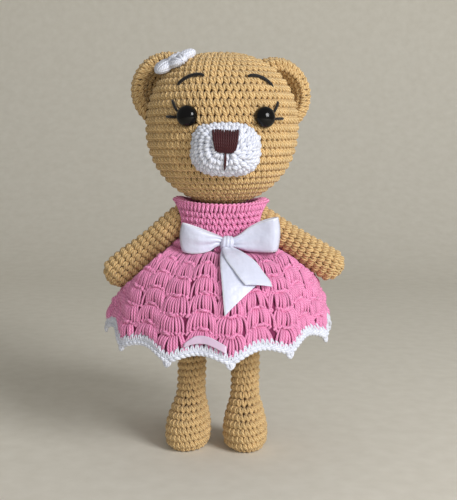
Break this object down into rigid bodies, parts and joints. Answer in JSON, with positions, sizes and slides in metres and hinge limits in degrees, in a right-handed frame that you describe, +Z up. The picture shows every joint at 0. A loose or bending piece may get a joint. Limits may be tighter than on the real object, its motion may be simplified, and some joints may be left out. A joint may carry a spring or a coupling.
{
  "type": "crocheted teddy bear",
  "caption": "Stuffed crocheted teddy bear with a round head, cupped ears, white muzzle and flower, in a flared pink dress with a white ribbon bow.",
  "frame": {"origin": "centre of the bear's bounding box on the surface that its soles stand on", "axes": "+Z up; the bear faces -Y, and its own left side is +X"},
  "size_m": [0.1186, 0.1113, 0.1959],
  "materials": {
    "tan_yarn": "matte",
    "white_yarn": "matte",
    "pink_yarn": "matte",
    "satin_ribbon": "satin",
    "black_thread": "matte",
    "brown_thread": "matte",
    "black_eye": "gloss",
    "washer_plastic": "matte",
    "fibre_stuffing": "matte"
  },
  "bodies": {
    "torso": {"body_cover": "tan_yarn", "body_stuffing": "fibre_stuffing", "dress_bodice": "pink_yarn", "dress_skirt": "pink_yarn", "hem_edging": "white_yarn", "waist_ribbon": "satin_ribbon", "bow_knot": "satin_ribbon", "bow_left_loop": "satin_ribbon", "bow_right_loop": "satin_ribbon", "hem_ribbon": "satin_ribbon"},
    "neck": {"neck_plug": "fibre_stuffing"},
    "head": {"head_cover": "tan_yarn", "head_stuffing": "fibre_stuffing", "muzzle_cover": "white_yarn", "muzzle_stuffing": "fibre_stuffing", "nose_embroidery": "brown_thread", "mouth_stitch": "brown_thread", "hair_flower": "white_yarn", "left_eye": "black_eye", "left_eye_washer": "washer_plastic", "left_brow": "black_thread", "left_upper_lash": "black_thread", "left_outer_lash": "black_thread", "left_ear": "tan_yarn", "right_eye": "black_eye", "right_eye_washer": "washer_plastic", "right_brow": "black_thread", "right_upper_lash": "black_thread", "right_outer_lash": "black_thread", "right_ear": "tan_yarn"},
    "left_arm": {"left_arm_cover": "tan_yarn", "left_arm_stuffing": "fibre_stuffing"},
    "right_arm": {"right_arm_cover": "tan_yarn", "right_arm_stuffing": "fibre_stuffing"},
    "left_leg": {"left_leg_cover": "tan_yarn", "left_leg_stuffing": "fibre_stuffing"},
    "right_leg": {"right_leg_cover": "tan_yarn", "right_leg_stuffing": "fibre_stuffing"},
    "left_tail": {"left_ribbon_tail": "satin_ribbon"},
    "right_tail": {"right_ribbon_tail": "satin_ribbon"}
  },
  "joints": [
    {"name": "head_turn", "type": "hinge", "parent": "torso", "child": "neck", "pos_m": [-0.00191, 0, 0.1203], "axis": [0, 0, 1], "range_deg": [-35, 35], "stiffness_Nm_per_rad": 0.2},
    {"name": "head_nod", "type": "hinge", "parent": "neck", "child": "head", "pos_m": [-0.00191, 0, 0.1203], "axis": [0.9982, 0.0593, 0], "range_deg": [-5, 5], "stiffness_Nm_per_rad": 0.4},
    {"name": "left_arm_lift", "type": "hinge", "parent": "torso", "child": "left_arm", "pos_m": [0.01709, 0, 0.1135], "axis": [0, -1, 0], "range_deg": [0, 33]},
    {"name": "right_arm_lift", "type": "hinge", "parent": "torso", "child": "right_arm", "pos_m": [-0.02091, 0, 0.1135], "axis": [0, 1, 0], "range_deg": [0, 33]},
    {"name": "left_leg_swing", "type": "hinge", "parent": "torso", "child": "left_leg", "pos_m": [0.01139, 0, 0.0642], "axis": [-1, 0, 0], "range_deg": [-20, 50], "stiffness_Nm_per_rad": 0.4},
    {"name": "right_leg_swing", "type": "hinge", "parent": "torso", "child": "right_leg", "pos_m": [-0.01521, 0, 0.0642], "axis": [-1, 0, 0], "range_deg": [-20, 50], "stiffness_Nm_per_rad": 0.4},
    {"name": "right_tail_lift", "type": "hinge", "parent": "torso", "child": "right_tail", "pos_m": [0.00169, -0.0272, 0.1018], "axis": [-1, 0, 0], "range_deg": [0, 45]},
    {"name": "left_tail_lift", "type": "hinge", "parent": "right_tail", "child": "left_tail", "pos_m": [0.00169, -0.0272, 0.1018], "axis": [-1, 0, 0], "range_deg": [0, 30]}
  ]
}
